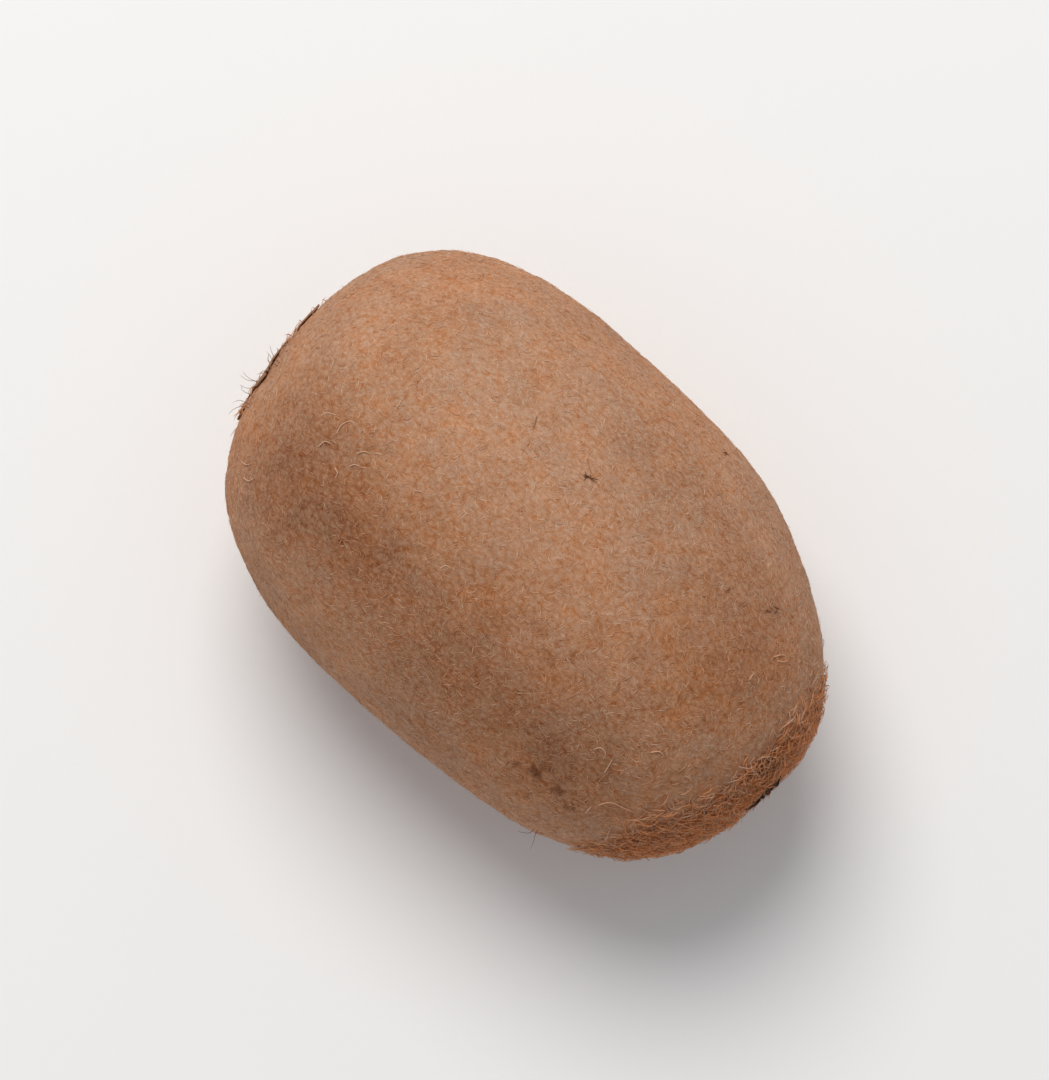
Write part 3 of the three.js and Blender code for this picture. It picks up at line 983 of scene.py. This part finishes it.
def makeSepals():
    print("sepals")
    look = calyxLook
    draws = seededDraws(look["seed"])

    def draw(low, high):
        return low + (high - low) * next(draws)

    whole = bmesh.new()
    tints = whole.loops.layers.uv.new(bakeMap)
    for index in range(look["count"]):
        facing = 2 * math.pi * index / look["count"]
        facing += draw(-look["turnSpread"], look["turnSpread"]) + look["turn"]
        length = look["length"] * draw(*look["lengths"])
        halfWidth = look["halfWidth"] * draw(*look["widths"])
        rise = look["rise"] * draw(*look["rises"])
        lean = look["lean"] * draw(-1, 1)
        wave = draw(0, 2 * math.pi)
        cup = look["cup"] * draw(*look["cups"])
        grid = {"x_segments": look["steps"], "y_segments": look["columns"], "size": 0.5}
        blade = bmesh.ops.create_grid(whole, **grid)["verts"]
        spots = {vertex: (vertex.co.x + 0.5, 2 * vertex.co.y) for vertex in blade}
        for vertex, (along, across) in spots.items():
            worn = 1 + look["ragged"] * math.sin(look["raggedWaves"] * along + wave + across)
            tear = bladeNoise(look["tornGrain"], along, across, index)
            reach = 1 - look["tornDepth"] * max(0, tear) * along
            width = halfWidth * worn * math.sqrt(max(look["slenderTip"], 1 - along ** 3))
            skewed = 1 - look["ragged"] * across * math.sin(wave) * along
            out = look["root"] + length * along * skewed * reach
            sideways = width * across + lean * along ** 2
            waves = look["rippleWaves"][0] * along + look["rippleWaves"][1] * across
            ripple = look["ripple"] * (1 + math.sin(waves + wave)) * along
            curl = rise * along ** 2 + cup * across ** 2 * along
            crumple = bladeNoise(look["crumpleGrain"], along, across, index)
            crumple *= look["crumple"] * along
            lift = seatGap + look["lift"] + curl + ripple + crumple
            turn = facing - math.atan2(sideways, out)
            vertex.co = aroundEnd("stem", math.hypot(out, sideways), turn, lift)
        for face in {face for vertex in blade for face in vertex.link_faces}:
            for loop in face.loops:
                along, across = spots[loop.vert]
                right = (index + 0.5 + look["mapWidth"] * across) / look["count"]
                loop[tints].uv = (right, mapMargin + (1 - 2 * mapMargin) * along)
    bmesh.ops.recalc_face_normals(whole, faces=whole.faces)
    sepals = toObject(whole, "sepals")
    sheet = sepals.modifiers.new("sheet", "SOLIDIFY")
    sheet.thickness = look["thickness"] * mm
    sheet.offset = 0
    applyModifiers(sepals)
    sepalFinish().onto(sepals)
    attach(sepals, "root")
    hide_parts("dried_calyx")


def sepalFinish():
    finish = Finish("dried_sepals", {"Roughness": 0.8, "Specular IOR Level": 0.25})
    here = finish.mapped()
    veins = finish.noise(finish.stretched(here, (90, 5, 1)), 1, 3, 0.6, 0.4)
    stain = finish.noise(finish.stretched(here, (18, 5, 1)), 1, 3, 0.6)
    stained = finish.between(stain, 0.3, 0.7)
    colour = finish.mix(stained, sepalColours["dark"], sepalColours["pale"])
    colour = finish.mix(finish.between(veins, 0.45, 0.75), colour, sepalColours["vein"])
    finish.put("Base Color", colour)
    finish.bump(veins, 0.10, 0.7)
    return finish


scarLook = {
    "radius": 3.0,
    "height": 0.75,
    "shoulder": 0.6,  # of the height
    "rim": 0.5,
    "dish": 1.8,
    "dishDepth": 0.35,
    "corkSize": 0.9,
    "corkHeight": 0.14,
    "segments": 40,
    "rounds": 2,
    "dark": (0.080, 0.036, 0.017, 1),
    "pale": (0.36, 0.195, 0.105, 1),
}


def turnedOnSeat(end, profile, segments, name):
    # a profile of radius and height turned round a seat's axis
    shape = bmesh.new()
    points = [shape.verts.new((radius * mm, 0, height * mm)) for radius, height in profile]
    edges = [shape.edges.new(pair) for pair in zip(points, points[1:])]
    whole = {"cent": (0, 0, 0), "axis": (0, 0, 1), "angle": 2 * math.pi, "use_merge": True}
    bmesh.ops.spin(shape, geom=points + edges, steps=segments, **whole)
    bmesh.ops.remove_doubles(shape, verts=shape.verts, dist=mergeWithin * mm)
    for vertex in shape.verts:
        across, upward, height = vertex.co / mm
        vertex.co = overEnd(end, across, upward, seatGap + height)
    bmesh.ops.recalc_face_normals(shape, faces=shape.faces)
    return toObject(shape, name)


roughenSeed = 5.5


def roughen(piece, size, height):
    mesh = piece.data
    places = meshArray(mesh.vertices, "co", 3)
    relief = fractal(places, size, roughenSeed)[:, None] * height * mm
    places += meshArray(mesh.vertex_normals, "vector", 3) * relief
    mesh.vertices.foreach_set("co", places.ravel())
    mesh.update()


def makeScar():
    print("scar")
    look = scarLook
    top = look["height"]
    profile = [
        (0, 0),
        (look["radius"], 0),
        (look["radius"], top * look["shoulder"]),
        (look["radius"] - look["rim"], top),
        (look["dish"], top),
        (look["dish"] - look["dishDepth"], top - look["dishDepth"]),
        (0, top - look["dishDepth"]),
    ]
    scar = turnedOnSeat("stem", profile, look["segments"], "scar")
    roundOff(scar, look["rounds"])
    roughen(scar, look["corkSize"], look["corkHeight"])
    finish = Finish("cork", {"Roughness": 0.9, "Specular IOR Level": 0.15})
    grain = finish.noise(finish.places(), 2.2, 4, 0.6, 0.6)
    paler = finish.between(grain, 0.3, 0.7)
    finish.put("Base Color", finish.mix(paler, look["dark"], look["pale"]))
    finish.bump(grain, 0.2, 0.8)
    finish.onto(scar)
    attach(scar, "root")
    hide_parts("dried_calyx")


stylesLook = {
    "seed": 21,
    "count": 24,
    "sunk": 0.4,
    "reach": 3.0,
    "reaches": (0.65, 1.1),  # how much longer or shorter one may be
    "outerReach": 0.45,  # how much farther the outer ones reach
    "height": 0.6,
    "heights": (0.75, 1.25),
    "innerHeight": 1.3,
    "outerLower": 0.5,
    "bend": 0.55,
    "hook": 0.35,
    "lowestTip": 0.7,
    "radius": 0.2,
    "taper": 0.45,
    "points": 14,
    "sides": 7,
    "rootShare": 0.7,  # of the button's radius
    "button": [(0, 0), (2.0, 0), (2.0, 0.21), (1.4, 0.39), (0, 0.6)],  # radius and height
    "buttonSegments": 32,
    "buttonRounds": 2,
    "buttonGrain": (0.7, 0.15),  # size and height
    "dark": (0.014, 0.008, 0.006, 1),
    "pale": (0.085, 0.040, 0.018, 1),
}


def makeStyles():
    print("styles")
    look = stylesLook
    draws = seededDraws(look["seed"])

    def draw(low, high):
        return low + (high - low) * next(draws)

    whole = bmesh.new()
    for index in range(look["count"]):
        turn = index * math.pi * (3 - math.sqrt(5))
        outer = math.sqrt((index + 0.5) / look["count"])
        root = look["button"][1][0] * look["rootShare"] * outer
        reach = look["reach"] * draw(*look["reaches"])
        reach *= 1 - look["outerReach"] + look["outerReach"] * outer
        height = look["height"] * draw(*look["heights"])
        height *= look["innerHeight"] - look["outerLower"] * outer
        bend = look["bend"] * draw(-1, 1)
        hook = look["hook"] * draw(-1, 1)
        lowest = seatGap + look["sunk"]
        knots = [
            aroundEnd("blossom", root, turn, lowest),
            aroundEnd("blossom", root + reach * 0.2, turn, lowest + height * 0.6),
            aroundEnd("blossom", root + reach * 0.6, turn + bend * 0.4, lowest + height),
            aroundEnd("blossom", root + reach, turn + bend, max(look["lowestTip"], height + hook)),
        ]
        line = throughPoints(knots, look["points"])
        shares = [step / (look["points"] - 1) for step in range(look["points"])]
        radii = [look["radius"] * mm * (1 - look["taper"] * share) for share in shares]
        single = growStrand(line, radii, look["sides"])
        mesh = bpy.data.meshes.new("style")
        single.to_mesh(mesh)
        single.free()
        whole.from_mesh(mesh)
        bpy.data.meshes.remove(mesh)
    styles = toObject(whole, "styles")
    finish = Finish("dried_styles", {"Roughness": 0.7, "Specular IOR Level": 0.15})
    at = finish.places()
    stained = finish.between(finish.noise(at, 0.9, 3, 0.6), 0.35, 0.7)
    finish.put("Base Color", finish.mix(stained, look["dark"], look["pale"]))
    finish.bump(finish.noise(at, 4, 2), 0.05, 0.6)
    finish.onto(styles)
    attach(styles, "root")
    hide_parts("dried_styles")
    button = turnedOnSeat("blossom", look["button"], look["buttonSegments"], "button")
    roundOff(button, look["buttonRounds"])
    roughen(button, *look["buttonGrain"])
    finish.onto(button)
    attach(button, "root")
    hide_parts("dried_styles")


makeCamera()
makeLight()
makeFloor()
skin = skinArrays(makeSkin())
strandFinish = makeStrandFinish()
even = np.ones(len(skin["places"]))
growOver("felt", skin, feltLook, even)
growOver("down", skin, downLook, even)
growOver("curls", skin, curlLook, even)
growOver("fur", skin, furLook, skin["blossomFur"] + skin["stemFur"] * furLook["stemShare"])
growOver("wool", skin, woolLook, skin["blossomFur"] + skin["stemFur"] * woolLook["stemShare"])
makeMarks()
makeSepals()
makeScar()
makeStyles()
